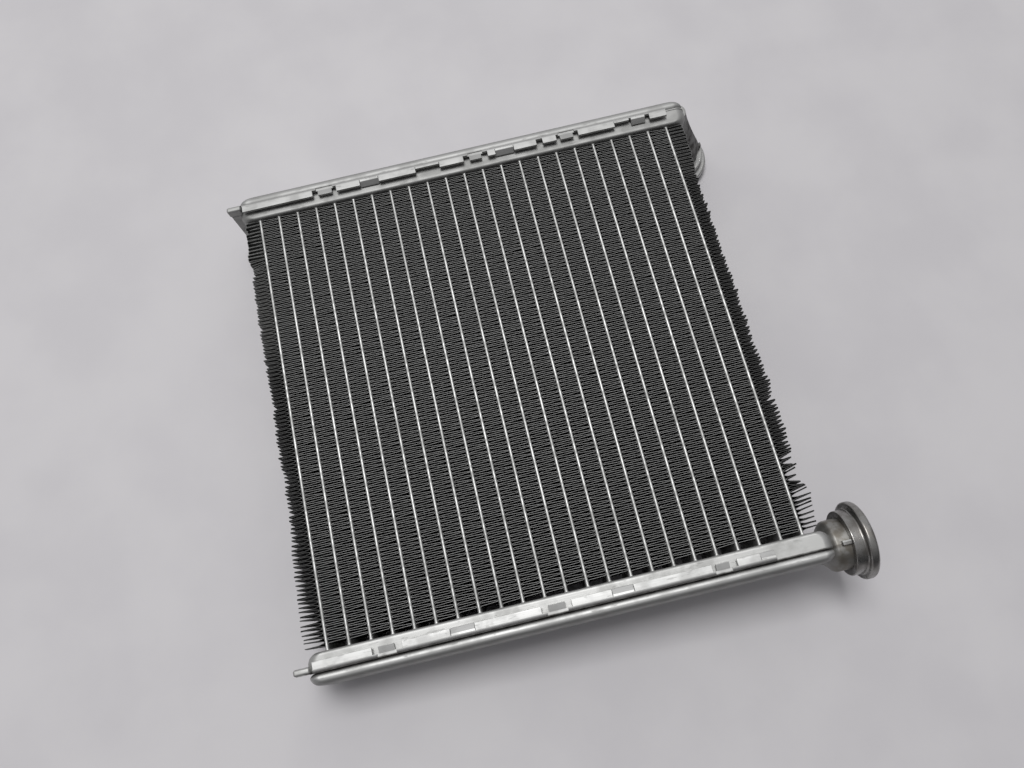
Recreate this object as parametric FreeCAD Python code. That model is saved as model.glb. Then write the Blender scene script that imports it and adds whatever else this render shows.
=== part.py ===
import FreeCAD, Part
import math
import os
from FreeCAD import Vector

# Heater core: flat tubes and folded fins between two clam-shell headers, each with a port at its right end.
# The origin is the centre of the tube block. X runs along the headers, Y along the tubes towards the upper
# header, and Z out of the front face. Every length is in millimetres.

# Block of tubes and fins
tube_count = 23
tube_pitch = 8.0
tube_thickness = 1.3
tube_depth = 26.0
tube_wall = 0.3
tube_nose = 0.4
core_height = 175.5
tube_reach = 2.6
fin_inset = 0.2
fin_sheet = 0.2
fin_folds = 14
fin_top_gap = 0.6
fin_bottom_gap = 1.4

# Header plate, the inner pan of each header
plate_margin = 2.2
plate_height = 6.2
plate_wall = 1.4
plate_edge_radius = 1.0
plate_end_radius = 4.0
pan_corner_radius = 4.0
left_overhang = 8.0
right_overhang = 9.5
slot_gap = 0.05

# Tank, the outer pan, which closes on the header plate at the seam
tank_wall = 1.2
tank_rise = 5.8
dome_foot = 2.2
dome_side_radius = 2.5
dome_end_radius = 4.4

# Skirt, rolled over from the tank's wall in a bend and folded down over the wall of the header plate
skirt_stand_off = 2.4
skirt_drop = 3.4
bend_drop = 1.5
bend_radius = 2.0
bend_fillet = 1.45
skirt_back_inset = 4.0
skirt_neck_gap = 2.0
cut_back_drop = 1.7
pressed_drop = 3.2
pressed_step = 0.6
sloped_drop = 3.5
sloped_tip = 1.3

# Lugs at the left end, where the flanges of both pans lie on each other
lug_length = 3.4
plate_lug_thickness = 2.1
tank_lug_thickness = 0.5
tongue_length = 4.0
tongue_width = 4.6

# Neck, drawn half in each pan, and the ramp that leads to it
neck_radius = 9.6
neck_wall = 1.3
lower_neck_length = 4.6
upper_neck_length = 5.7
neck_tab_length = 3.4
neck_tab_width = 1.8
neck_tab_thickness = 0.85
lower_ramp_start = 7.6
lower_ramp_length = 4.8
upper_neck_offset = 11.5
upper_ramp_radius = 3.2
upper_ramp_edge = 10.0
upper_ramp_setback = 2.3
upper_neck_lead = 1.7

# Port, a turned cup with a clamp flange
braze_gap = 0.05
cup_radius = 12.2
cup_length = 4.3
socket_radius = 10.6
socket_depth = 4.4
flange_radius = 14.6
flange_thickness = 3.4

# Outer fin rows: share of the full reach that the free folds have, by height as a share of half the core
left_reach = [
    (1.0, 0.8),
    (0.8, 0.72),
    (0.75, 0.55),
    (0.66, 0.95),
    (0.0, 1.0),
    (-0.32, 0.86),
    (-0.41, 1.08),
    (-1.0, 1.12),
]
right_reach = [
    (1.0, 0.85),
    (0.78, 0.82),
    (0.68, 1.02),
    (-0.32, 1.0),
    (-0.46, 1.3),
    (-0.59, 1.42),
    (-0.68, 1.1),
    (-1.0, 0.72),
]

# Front skirt of each tank: where each stretch starts and ends along X, and how it is formed
upper_skirt = [
    (-93.5, -63.6, "full"),
    (-61.5, -55.5, "pressed"),
    (-53.6, -43.4, "full"),
    (-43.4, -35.5, "sloped"),
    (-35.5, -19.6, "full"),
    (-19.6, -9.4, "cut_back"),
    (-9.4, 1.0, "full"),
    (3.5, 8.7, "pressed"),
    (11.3, 14.7, "full"),
    (14.7, 22.6, "sloped"),
    (22.6, 32.4, "full"),
    (35.0, 41.0, "full"),
    (42.6, 48.3, "pressed"),
    (50.3, 66.1, "full"),
    (66.1, 72.6, "cut_back"),
    (73.4, 79.5, "sloped"),
    (81.2, 88.6, "full"),
]
lower_skirt = [
    (-93.0, -71.4, "full"),
    (-69.3, -63.5, "pressed"),
    (-60.7, -43.2, "full"),
    (-43.2, -34.4, "sloped"),
    (-34.4, -10.2, "full"),
    (-7.8, -1.5, "pressed"),
    (0.7, 15.5, "full"),
    (15.5, 23.4, "sloped"),
    (23.4, 52.1, "full"),
    (53.5, 58.5, "pressed"),
    (61.2, 69.8, "full"),
    (69.8, 75.2, "sloped"),
]

# Places worked out from the sizes above. Heights in a header count outwards from the floor of its plate.
half_block = (tube_count - 1) * tube_pitch / 2
half_core = core_height / 2
fin_width = tube_pitch - tube_thickness
fin_depth = tube_depth - 2 * fin_inset
plate_depth = tube_depth + 2 * plate_margin
plate_half = plate_depth / 2
left_end = -half_block - left_overhang
right_end = half_block + right_overhang
seam = plate_height
dome_spring = seam + dome_foot
skirt_face = plate_half + skirt_stand_off
bend_start = seam - bend_drop
neck_reach = cup_length + flange_thickness - socket_depth
lower_neck_start = half_block + lower_ramp_start + lower_ramp_length
upper_neck_x = half_block + upper_neck_offset


def prism(points, direction):
    """Closed prism on a flat outline of points."""
    corners = [Vector(*p) for p in points]
    face = Part.Face(Part.makePolygon(corners + corners[:1]))
    return face.extrude(Vector(*direction))


def flat_prism(thickness, depth, nose, bottom, length):
    """Solid with a flat tube's eight-cornered section, standing along Y."""
    x = thickness / 2
    z = depth / 2
    right = [(x - nose, z), (x, z - nose), (x, nose - z), (x - nose, -z)]
    section = right + [(-u, -w) for u, w in right]
    return prism([(u, bottom, w) for u, w in section], (0, length, 0))


def tube():
    """One flat water tube, open at both ends, which reach into the headers."""
    bottom = -half_core - tube_reach
    length = core_height + 2 * tube_reach
    outside = flat_prism(tube_thickness, tube_depth, tube_nose, bottom, length)
    room = 2 * tube_wall
    inner_nose = tube_nose - tube_wall / 2
    inside = flat_prism(tube_thickness - room, tube_depth - room, inner_nose, bottom, length)
    return outside.cut(inside)


def share_at(height, table):
    """Reach of the free folds at a height, read between the pairs of a table. Both are shares."""
    for (high, share_high), (low, share_low) in zip(table, table[1:]):
        if high >= height >= low:
            return share_low + (share_high - share_low) * (height - low) / (high - low)
    return table[-1][1]


def fin(x_fixed, side, table):
    """One folded strip: every second fold touches the tube face at x_fixed, the others reach away."""
    top = half_core - fin_top_gap
    leg = (core_height - fin_top_gap - fin_bottom_gap) / (2 * fin_folds)
    across = fin_sheet * math.hypot(leg, fin_width) / leg
    near_line = []
    far_line = []
    for k in range(2 * fin_folds + 1):
        y = top - k * leg
        reach = fin_width * share_at(y / half_core, table)
        start = 0.0 if k % 2 == 0 else reach - across
        near_line.append((x_fixed + side * start, y, -fin_depth / 2))
        far_line.append((x_fixed + side * (start + across), y, -fin_depth / 2))
    return prism(near_line + far_line[::-1], (0, 0, fin_depth))


def rounded_box(x_low, x_high, y_low, y_high, half_depth, corner):
    """Box with its four upright corners rounded in plan."""
    box = Part.makeBox(x_high - x_low, y_high - y_low, 2 * half_depth, Vector(x_low, y_low, -half_depth))
    upright = [e for e in box.Edges if abs(e.Vertexes[0].Y - e.Vertexes[1].Y) > 1e-6]
    return box.makeFillet(corner, upright)


def edges_at(body, y):
    """Edges of a body that lie at height y."""
    return [e for e in body.Edges if all(abs(v.Y - y) < 1e-6 for v in e.Vertexes)]


def turned_up(x_low, x_high, height, half_depth):
    """Box whose long lower edges are rounded, met with one whose short lower edges are rounded."""
    box = Part.makeBox(x_high - x_low, height, 2 * half_depth, Vector(x_low, 0, -half_depth))
    lower = edges_at(box, 0)
    long_edges = [e for e in lower if abs(e.Vertexes[0].X - e.Vertexes[1].X) > 1e-6]
    short_edges = [e for e in lower if abs(e.Vertexes[0].Z - e.Vertexes[1].Z) > 1e-6]
    rounded = box.makeFillet(plate_edge_radius, long_edges)
    return rounded.common(box.makeFillet(plate_end_radius, short_edges))


def slab(y_low, y_high):
    """Block that keeps only what lies between two heights."""
    size = 8 * half_block
    return Part.makeBox(size, y_high - y_low, size, Vector(-size / 2, y_low, -size / 2))


def lower_passage(inset):
    """Ramp and neck of the lower header, along X, drawn in by an inset."""
    start = Vector(half_block + lower_ramp_start, seam, 0)
    along = Vector(1, 0, 0)
    ramp = Part.makeCone(plate_height - inset, neck_radius - inset, lower_ramp_length, start, along)
    foot = Vector(lower_neck_start, seam, 0)
    neck = Part.makeCylinder(neck_radius - inset, lower_neck_length + neck_reach, foot, along)
    return ramp.fuse(neck)


def upper_passage(inset):
    """Ramp that widens towards the back corner of the upper header, and its neck, drawn in by an inset."""
    front_x = half_block + upper_ramp_edge - upper_ramp_radius
    front = Vector(front_x, seam, plate_half - upper_ramp_setback - inset)
    way = Vector(upper_neck_x, seam, -plate_half) - front
    ramp = Part.makeCone(upper_ramp_radius - inset, neck_radius - inset, way.Length, front, way)
    foot = Vector(upper_neck_x, seam, upper_neck_lead - plate_half)
    neck_total = upper_neck_lead + upper_neck_length + neck_reach
    neck = Part.makeCylinder(neck_radius - inset, neck_total, foot, Vector(0, 0, -1))
    return ramp.fuse(neck)


def left_lug(y_low, y_high):
    """Flange at the left end over the full depth, with a longer tongue at the front."""
    overlap = pan_corner_radius
    height = y_high - y_low
    flange_start = Vector(left_end - lug_length, y_low, overlap / 2 - plate_half)
    flange = Part.makeBox(lug_length + overlap, height, plate_depth - overlap, flange_start)
    tongue_start = Vector(left_end - tongue_length, y_low, skirt_face - tongue_width)
    tongue = Part.makeBox(tongue_length + overlap / 2, height, tongue_width, tongue_start)
    return flange.fuse(tongue)


def neck_tab(upper, y_low, y_high):
    """Small seam tab on the side of the neck, against the back of the port's cup."""
    inside = neck_radius - neck_wall / 2
    width = neck_wall / 2 + neck_tab_width
    height = y_high - y_low
    if upper:
        corner = Vector(upper_neck_x + inside, y_low, -plate_half - upper_neck_length)
        return Part.makeBox(width, height, neck_tab_length, corner)
    corner = Vector(lower_neck_start + lower_neck_length - neck_tab_length, y_low, inside)
    return Part.makeBox(neck_tab_length, height, width, corner)


def passage(upper, inset):
    """Ramp and neck of one header."""
    return upper_passage(inset) if upper else lower_passage(inset)


def header_plate(upper):
    """Inner pan: slotted floor with a rounded lower edge, upright wall, half neck and end lug."""
    pan = rounded_box(left_end, right_end, 0, seam, plate_half, pan_corner_radius)
    pan = pan.common(turned_up(left_end, right_end, seam, plate_half))
    hollow = rounded_box(left_end + plate_wall, right_end - plate_wall, plate_wall, seam,
                         plate_half - plate_wall, pan_corner_radius - plate_wall)
    half_neck = passage(upper, 0).common(slab(seam - 2 * neck_radius, seam))
    lug = left_lug(seam - plate_lug_thickness, seam)
    tab = neck_tab(upper, seam - neck_tab_thickness, seam)
    body = pan.fuse([half_neck, lug, tab])
    body = body.cut([hollow, passage(upper, neck_wall)])
    room = 2 * slot_gap
    slot = flat_prism(tube_thickness + room, tube_depth + room, tube_nose, -plate_wall, 3 * plate_wall)
    slots = []
    for k in range(tube_count):
        copy = slot.copy()
        copy.translate(Vector(k * tube_pitch - half_block, 0, 0))
        slots.append(copy)
    return body.cut(slots).removeSplitter()


def arc(points):
    """Circular arc through three points, as an edge."""
    return Part.Arc(*points).toShape()


def arch(inset):
    """Arch of the tank's back along X: a wide crown arc that runs tangent into a small arc at each side."""
    side = dome_side_radius - inset
    span = plate_half - dome_side_radius
    rise = tank_rise - dome_foot - inset
    crown = (span ** 2 + rise ** 2 - side ** 2) / (2 * (rise - side))
    lean = math.atan2(crown - rise, span)
    front = []
    for turn in (0, lean / 2, lean):
        front.append(Vector(left_end, dome_spring + side * math.sin(turn), span + side * math.cos(turn)))
    back = [Vector(p.x, p.y, -p.z) for p in front]
    top = Vector(left_end, dome_spring + rise, 0)
    corners = [back[0], Vector(left_end, seam, back[0].z), Vector(left_end, seam, front[0].z), front[0]]
    foot = Part.makePolygon(corners)
    outline = Part.Wire([arc(front), arc([front[2], top, back[2]]), arc(back[::-1])] + foot.Edges)
    return Part.Face(outline).extrude(Vector(right_end - left_end, 0, 0))


def side_profile():
    """Side view of the tank's back along Z, turned down in a quarter circle at both ends."""
    left = []
    right = []
    for turn in (0, math.pi / 4, math.pi / 2):
        inwards = dome_end_radius * (1 - math.cos(turn))
        height = seam + tank_rise - dome_end_radius * (1 - math.sin(turn))
        left.append(Vector(left_end + inwards, height, -plate_half))
        right.append(Vector(right_end - inwards, height, -plate_half))
    crest = Part.makeLine(left[2], right[2])
    foot_left = Vector(left_end, seam, -plate_half)
    foot_right = Vector(right_end, seam, -plate_half)
    foot = Part.makePolygon([right[0], foot_right, foot_left, left[0]])
    outline = Part.Wire([arc(left), crest, arc(right[::-1])] + foot.Edges)
    return Part.Face(outline).extrude(Vector(0, 0, plate_depth))


def bend(x_low, x_high):
    """Bend of the front skirt along X: it rolls over outwards and runs in a fillet into the tank's wall."""
    turn = math.acos(1 - (skirt_face - plate_half) / (bend_radius + bend_fillet))
    fillet_top = bend_start + (bend_radius + bend_fillet) * math.sin(turn)
    rolled = []
    hollow = []
    for lean in (0, turn / 2, turn):
        rise = math.sin(lean)
        drop = 1 - math.cos(lean)
        rolled.append(Vector(x_low, bend_start + bend_radius * rise, skirt_face - bend_radius * drop))
        hollow.append(Vector(x_low, fillet_top - bend_fillet * rise, plate_half + bend_fillet * drop))
    inside = plate_half - tank_wall / 2
    back = [Vector(x_low, y, z) for y, z in ((fillet_top, inside), (seam, inside), (seam, plate_half))]
    foot = Part.makePolygon([hollow[0]] + back + [Vector(x_low, bend_start, plate_half), rolled[0]])
    outline = Part.Wire([arc(rolled), arc(hollow[::-1])] + foot.Edges)
    return Part.Face(outline).extrude(Vector(x_high - x_low, 0, 0))


def skirt_stretch(x_low, x_high, form):
    """One stretch of the front skirt below the bend, in one way of forming it."""
    drop, top_face, foot_face = {
        "full": (skirt_drop, skirt_face, skirt_face),
        "cut_back": (cut_back_drop, skirt_face, skirt_face),
        "pressed": (pressed_drop, skirt_face - pressed_step, skirt_face - pressed_step),
        "sloped": (sloped_drop, skirt_face, plate_half + sloped_tip),
    }[form]
    foot = seam - drop
    section = [(bend_start, plate_half), (bend_start, top_face), (foot, foot_face), (foot, plate_half)]
    return prism([(x_low, y, z) for y, z in section], (x_high - x_low, 0, 0))


def skirt(upper, stretches):
    """Front skirt in its stretches under one bend, and the plain one at the back."""
    pieces = [bend(stretches[0][0], stretches[-1][1])]
    for stretch in stretches:
        pieces.append(skirt_stretch(*stretch))
    back_start = left_end + skirt_back_inset
    back_end = upper_neck_x - neck_radius - skirt_neck_gap if upper else right_end - skirt_back_inset
    for piece in (bend(back_start, back_end), skirt_stretch(back_start, back_end, "full")):
        pieces.append(piece.mirror(Vector(0, 0, 0), Vector(0, 0, 1)))
    return pieces


def tank(upper, stretches):
    """Outer pan: domed back, rolled skirt, half neck and end lug."""
    block = rounded_box(left_end, right_end, seam, seam + tank_rise, plate_half, pan_corner_radius)
    back = block.common(arch(0)).common(side_profile())
    half_neck = passage(upper, 0).common(slab(seam, seam + 2 * neck_radius))
    room = rounded_box(left_end + dome_end_radius, right_end - dome_end_radius, seam, seam + tank_rise,
                       plate_half - tank_wall, pan_corner_radius - tank_wall)
    hollow = arch(tank_wall).common(room)
    lug = left_lug(seam, seam + tank_lug_thickness)
    tab = neck_tab(upper, seam, seam + neck_tab_thickness)
    body = back.fuse([half_neck, lug, tab] + skirt(upper, stretches))
    return body.cut([hollow, passage(upper, neck_wall)]).removeSplitter()


def port():
    """Turned cup along +X: a hole for the neck, a wider socket for the pipe, and a clamp flange."""
    hole = neck_radius + braze_gap
    mouth = cup_length + flange_thickness
    outline = [
        (0, hole),
        (0, cup_radius),
        (cup_length, cup_radius),
        (cup_length, flange_radius),
        (mouth, flange_radius),
        (mouth, socket_radius),
        (neck_reach, socket_radius),
        (neck_reach, hole),
    ]
    corners = [Vector(x, r, 0) for x, r in outline]
    face = Part.Face(Part.makePolygon(corners + corners[:1]))
    return face.revolve(Vector(0, 0, 0), Vector(1, 0, 0), 360)


def placed(shape, upper):
    """Header piece moved to its end of the tubes. The lower one is the mirror of the upper frame."""
    if upper:
        moved = shape.copy()
        moved.translate(Vector(0, half_core, 0))
        return moved
    moved = shape.mirror(Vector(0, 0, 0), Vector(0, 1, 0))
    moved.translate(Vector(0, -half_core, 0))
    return moved


def placed_port(upper):
    """Port turned along its neck and moved until its back stands at the end of the free neck."""
    body = port()
    if upper:
        body.rotate(Vector(0, 0, 0), Vector(0, 1, 0), 90)
        body.translate(Vector(upper_neck_x, half_core + seam, -plate_half - upper_neck_length))
    else:
        body.translate(Vector(lower_neck_start + lower_neck_length, -half_core - seam, 0))
    return body


def build():
    """Every piece by the name of its node."""
    pieces = {}
    for k in range(tube_count):
        body = tube()
        body.translate(Vector(k * tube_pitch - half_block, 0, 0))
        pieces[f"tube_{k + 1:02d}"] = body
    plain = [(1.0, 1.0), (-1.0, 1.0)]
    face = tube_thickness / 2
    pieces["fin_01"] = fin(-half_block - face, -1, left_reach)
    for k in range(1, tube_count):
        pieces[f"fin_{k + 1:02d}"] = fin((k - 1) * tube_pitch - half_block + face, 1, plain)
    pieces[f"fin_{tube_count + 1:02d}"] = fin(half_block + face, 1, right_reach)
    for end, upper, stretches in (("upper", True, upper_skirt), ("lower", False, lower_skirt)):
        pieces[f"header_plate_{end}"] = placed(header_plate(upper), upper)
        pieces[f"tank_{end}"] = placed(tank(upper, stretches), upper)
        pieces[f"port_{end}"] = placed_port(upper)
    return pieces


os.makedirs("parts", exist_ok=True)
for name, shape in build().items():
    shape.exportStep(f"parts/{name}.step")
    print(name, len(shape.Solids), round(shape.Volume, 1), shape.isValid())
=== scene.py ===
# %% [markdown]
# # Heater core
# A heater core is a small radiator for the air in a cabin. Hot water runs through a row of flat tubes,
# folded foil between the tubes gives its heat to the air, and a header at each end of the tubes spreads
# the water over them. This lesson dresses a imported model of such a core: the solids give every size and
# place, and each cell makes one kind of piece at the fineness that the eye sees.

# %% Load the frame
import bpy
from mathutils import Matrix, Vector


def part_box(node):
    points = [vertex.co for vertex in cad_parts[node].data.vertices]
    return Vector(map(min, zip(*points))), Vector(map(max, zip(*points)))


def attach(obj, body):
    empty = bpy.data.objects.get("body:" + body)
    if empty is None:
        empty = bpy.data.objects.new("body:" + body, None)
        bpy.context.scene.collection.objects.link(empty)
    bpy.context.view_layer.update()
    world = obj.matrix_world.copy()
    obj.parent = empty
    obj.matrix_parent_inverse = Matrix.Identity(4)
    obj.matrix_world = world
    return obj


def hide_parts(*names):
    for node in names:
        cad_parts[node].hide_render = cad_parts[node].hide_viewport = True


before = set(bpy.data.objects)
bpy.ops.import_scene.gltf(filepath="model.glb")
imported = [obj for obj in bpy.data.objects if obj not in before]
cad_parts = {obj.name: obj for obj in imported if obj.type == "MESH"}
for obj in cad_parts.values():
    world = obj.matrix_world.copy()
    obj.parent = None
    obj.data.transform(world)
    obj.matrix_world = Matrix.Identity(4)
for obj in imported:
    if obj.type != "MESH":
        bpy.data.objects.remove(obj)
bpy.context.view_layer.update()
print("solids loaded:", len(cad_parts))

# %% [markdown]
# ## Units and places
# The frame is in metres, but a maker thinks of a core in millimetres. All points are written in
# millimetres and scaled once, where a mesh is made. X runs along the headers, Y along the tubes and Z
# out of the front face. The tube sizes are read from the frame, so the looks follow the solids.

# %% Units and main places
import math
import random

import bmesh
import bpy
from mathutils import Euler, Matrix, Vector

MM = 0.001
tube_names = sorted(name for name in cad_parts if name.startswith("tube_"))
fin_names = sorted(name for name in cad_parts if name.startswith("fin_"))


def span(node):
    """Lowest and highest corner of a solid, in millimetres."""
    low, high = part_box(node)
    return low / MM, high / MM


tube_low, tube_high = span(tube_names[0])
tube_pitch = span(tube_names[1])[0].x - tube_low.x
tube_thickness = tube_high.x - tube_low.x
tube_half_depth = tube_high.z
tube_reach = 2.6
fin_half_depth = span(fin_names[0])[1].z
core_half = tube_high.y - tube_reach
first_tube_x = (tube_low.x + tube_high.x) / 2
last_tube_x = first_tube_x + (len(tube_names) - 1) * tube_pitch
print("tube pitch", round(tube_pitch, 2), "core height", round(2 * core_half, 2))

# %% [markdown]
# ## Meshes from rings
# Pressed pans, turned cups and blocks all can be seen as a stack of rings of points with a skin between
# them. One function skins any stack and closes its ends, so that each mesh is a closed solid.

# %% Solids and lofts
def solid(name, points, faces):
    """Closed mesh object from points in millimetres, with its faces turned outwards."""
    mesh = bpy.data.meshes.new(name)
    mesh.from_pydata([Vector(p) * MM for p in points], [], faces)
    shape = bmesh.new()
    shape.from_mesh(mesh)
    bmesh.ops.recalc_face_normals(shape, faces=shape.faces)
    shape.to_mesh(mesh)
    shape.free()
    piece = bpy.data.objects.new(name, mesh)
    bpy.context.scene.collection.objects.link(piece)
    return piece


def skin(count, total, closed=False):
    """Faces between neighbouring rings of count points, and from the last to the first if closed."""
    faces = []
    for start in range(0, total if closed else total - count, count):
        following = (start + count) % total
        for i in range(count):
            j = (i + 1) % count
            faces.append((start + i, start + j, following + j, following + i))
    return faces


def loft(name, rings):
    """Closed solid through rings of equally many points, with a face at each end."""
    count = len(rings[0])
    points = [p for ring in rings for p in ring]
    total = len(points)
    ends = [tuple(range(count)), tuple(range(total - count, total))]
    return solid(name, points, ends + skin(count, total))


print("faces between two rings of four:", len(skin(4, 8)))

# %% [markdown]
# A sharp edge never catches the light, so blocks get a small bevel. Booleans join the parts of one
# pressing, as the press forms them in one sheet. The last helper shades a piece, with weighted normals
# that keep broad faces flat, seats it under the frame's root and hides the solids it stands for.

# %% Bevels, booleans and seating
def soften(piece, width, segments=2):
    """Rounds every edge of a block, as a press or a deburring tool leaves it."""
    shape = bmesh.new()
    shape.from_mesh(piece.data)
    bmesh.ops.bevel(shape, geom=shape.edges[:], offset=width * MM, segments=segments, profile=0.5,
                    affect="EDGES", clamp_overlap=True)
    shape.to_mesh(piece.data)
    shape.free()
    return piece


def carve(piece, operation, tools):
    """Joins tools to a piece or cuts them from it, and takes the tools away."""
    for tool in tools:
        modifier = piece.modifiers.new(tool.name, "BOOLEAN")
        modifier.operation = operation
        modifier.object = tool
        modifier.solver = "EXACT"
    graph = bpy.context.evaluated_depsgraph_get()
    mesh = bpy.data.meshes.new_from_object(piece.evaluated_get(graph))
    piece.modifiers.clear()
    piece.data = mesh
    for tool in tools:
        bpy.data.objects.remove(tool)
    return piece


def finished(piece, material, slot_name, *nodes, crease=40):
    """Shades a piece smooth up to a crease angle, gives it its material and seats it in the frame."""
    piece.data.materials.clear()
    piece.data.materials.append(material)
    for face in piece.data.polygons:
        face.use_smooth = True
        face.material_index = 0
    piece.data.set_sharp_from_angle(angle=math.radians(crease))
    weights = piece.modifiers.new("face_weighted_shading", "WEIGHTED_NORMAL")
    weights.keep_sharp = True
    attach(piece, "root")
    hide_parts(*nodes)
    return piece


print("piece helpers: soften, carve, finished")

# %% [markdown]
# ## Shader maths in plain Python
# A material is a small formula for each surface point. Written with nodes it is hard to read, so a thin
# class lets an output socket stand in a Python expression: every operator adds its Math node.

# %% Wire
def plug(tree, socket, value):
    """Links a wire to an input socket, or writes a plain value on it."""
    if isinstance(value, Wire):
        tree.links.new(value.socket, socket)
    else:
        socket.default_value = value


class Wire:
    """An output socket that can be added, subtracted, multiplied and divided like a number."""

    def __init__(self, socket):
        self.socket = socket

    def combine(self, operation, first, second=0.0):
        """One Math node on one or two values."""
        tree = self.socket.id_data
        node = tree.nodes.new("ShaderNodeMath")
        node.operation = operation
        for socket, value in zip(node.inputs, (first, second)):
            plug(tree, socket, value)
        return Wire(node.outputs[0])

    def __add__(self, other):
        return self.combine("ADD", self, other)

    def __radd__(self, other):
        return self.combine("ADD", other, self)

    def __sub__(self, other):
        return self.combine("SUBTRACT", self, other)

    def __rsub__(self, other):
        return self.combine("SUBTRACT", other, self)

    def __mul__(self, other):
        return self.combine("MULTIPLY", self, other)

    def __rmul__(self, other):
        return self.combine("MULTIPLY", other, self)

    def __truediv__(self, other):
        return self.combine("DIVIDE", self, other)

    def __rtruediv__(self, other):
        return self.combine("DIVIDE", other, self)

    def __abs__(self):
        return self.combine("ABSOLUTE", self)

    def fraction(self):
        """What is left after the point, which turns a length into a repeat."""
        return self.combine("FRACT", self)


print("socket maths: Wire")

# %% [markdown]
# Everything that isn't arithmetic comes from one method that takes a node type, its settings and its
# inputs. A finish adds short names for what all finishes here are made of: a noise, a soft step, a
# coordinate for masks that follow the shape, and a fine relief.

# %% Nodes and Finish
class Nodes:
    """A node tree with one method for any node and a short name for the colour mix."""

    def __init__(self, tree):
        self.tree = tree

    def node(self, kind, settings, sockets, output=0):
        """Any node: its settings are set first, then its sockets are given values or links."""
        node = self.tree.nodes.new(kind)
        for name, value in settings.items():
            setattr(node, name, value)
        for name, value in sockets.items():
            plug(self.tree, node.inputs[name], value)
        return Wire(node.outputs[output])

    def tint(self, factor, first, second):
        """Colour between two colours."""
        return self.node("ShaderNodeMix", {"data_type": "RGBA"}, {0: factor, 6: first, 7: second}, 2)


class Finish(Nodes):
    """A material in the making, with short names for the patterns that it uses."""

    def __init__(self, name, constants):
        self.material = bpy.data.materials.new(name)
        self.material.use_nodes = True
        super().__init__(self.material.node_tree)
        self.shader = self.tree.nodes["Principled BSDF"]
        for socket, value in constants.items():
            self.shader.inputs[socket].default_value = value

    def set(self, socket, value):
        """Feeds one of the shader's sockets."""
        plug(self.tree, self.shader.inputs[socket], value)

    def place(self, scale=(1.0, 1.0, 1.0)):
        """Position on the piece in metres, stretched along the axes."""
        spot = self.node("ShaderNodeTexCoord", {}, {}, "Object")
        return self.node("ShaderNodeVectorMath", {"operation": "MULTIPLY"}, {0: spot, 1: scale})

    def coordinate(self, axis):
        """One coordinate of the position, in millimetres."""
        spot = self.place((1 / MM, 1 / MM, 1 / MM))
        return self.node("ShaderNodeSeparateXYZ", {}, {"Vector": spot}, axis)

    def noise(self, place, scale, detail=3.0):
        """Cloudy pattern around 0.5."""
        return self.node("ShaderNodeTexNoise", {}, {"Vector": place, "Scale": scale, "Detail": detail})

    def between(self, value, low, high):
        """0 below low, 1 above high and a soft step in between."""
        return self.node("ShaderNodeMapRange", {"interpolation_type": "SMOOTHSTEP"},
                         {"Value": value, "From Min": low, "From Max": high})

    def relief(self, height, depth):
        """Fine relief: height from 0 to 1 over a depth in millimetres, as the shader's normal."""
        self.set("Normal", self.node("ShaderNodeBump", {}, {"Height": height, "Distance": depth * MM}))


def colour(red, green, blue):
    """Opaque colour."""
    return (red, green, blue, 1.0)


print("material helpers: Nodes, Finish, colour")

# %% [markdown]
# ## Tube metal
# Everything here is aluminium, yet each piece has its own history. The tubes are extruded, so fine lines
# run along them, and a dull film of flux dried on them in the furnace. One noise could stand for both,
# but the lines need one that is stretched along the tube, and the film one that isn't.

# %% Extruded tube metal
finish = Finish("extruded_tube_metal", {"Metallic": 0.8})
lines = finish.noise(finish.place((2600.0, 90.0, 2600.0)), 1.0, 2.0)
film = finish.between(finish.noise(finish.place(), 420.0, 4.0), 0.40, 0.62)
finish.set("Base Color", finish.tint(film, colour(0.53, 0.53, 0.52), colour(0.40, 0.40, 0.39)))
finish.set("Roughness", 0.38 + lines * 0.10 + film * 0.12)
finish.relief(lines, 0.02)
extrusion = finish.material
print("tube finish:", extrusion.name)

# %% [markdown]
# ## Flat tubes
# A flat tube is an extrusion with half-round noses, so its section could be a box with rounded ends or a
# true stadium. The stadium costs little and gives the thin bright line that a round nose shows. The tube
# is lofted in a few steps along its length, with a braze collar where it enters each header.

# %% Flat tubes
nose_points = 9
nose_gap = 0.02
collar_height = 0.5
collar_width = 0.25
tube_end = tube_high.y


def tube_section(x, y, grow):
    """Stadium round a tube's middle at a height, let out on all sides by a little."""
    radius = tube_thickness / 2 + grow
    straight = tube_half_depth - tube_thickness / 2
    ring = []
    for side in (1, -1):
        for k in range(nose_points):
            turn = math.pi * k / (nose_points - 1)
            ring.append((x + side * radius * math.cos(turn), y, side * (straight + radius * math.sin(turn))))
    return ring


tube_steps = [
    (-tube_end, 0.0), (-core_half, 0.0), (-core_half, collar_width), (-core_half + collar_height, 0.0),
    (core_half - collar_height, 0.0), (core_half, collar_width), (core_half, 0.0), (tube_end, 0.0),
]
for number, node in enumerate(tube_names):
    x = first_tube_x + number * tube_pitch
    tube = loft(f"flat_{node}", [tube_section(x, y, grow - nose_gap) for y, grow in tube_steps])
    finished(tube, extrusion, "tubes", node)
print("tubes:", len(tube_names), "of", 2 * nose_points, "points round")
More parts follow.
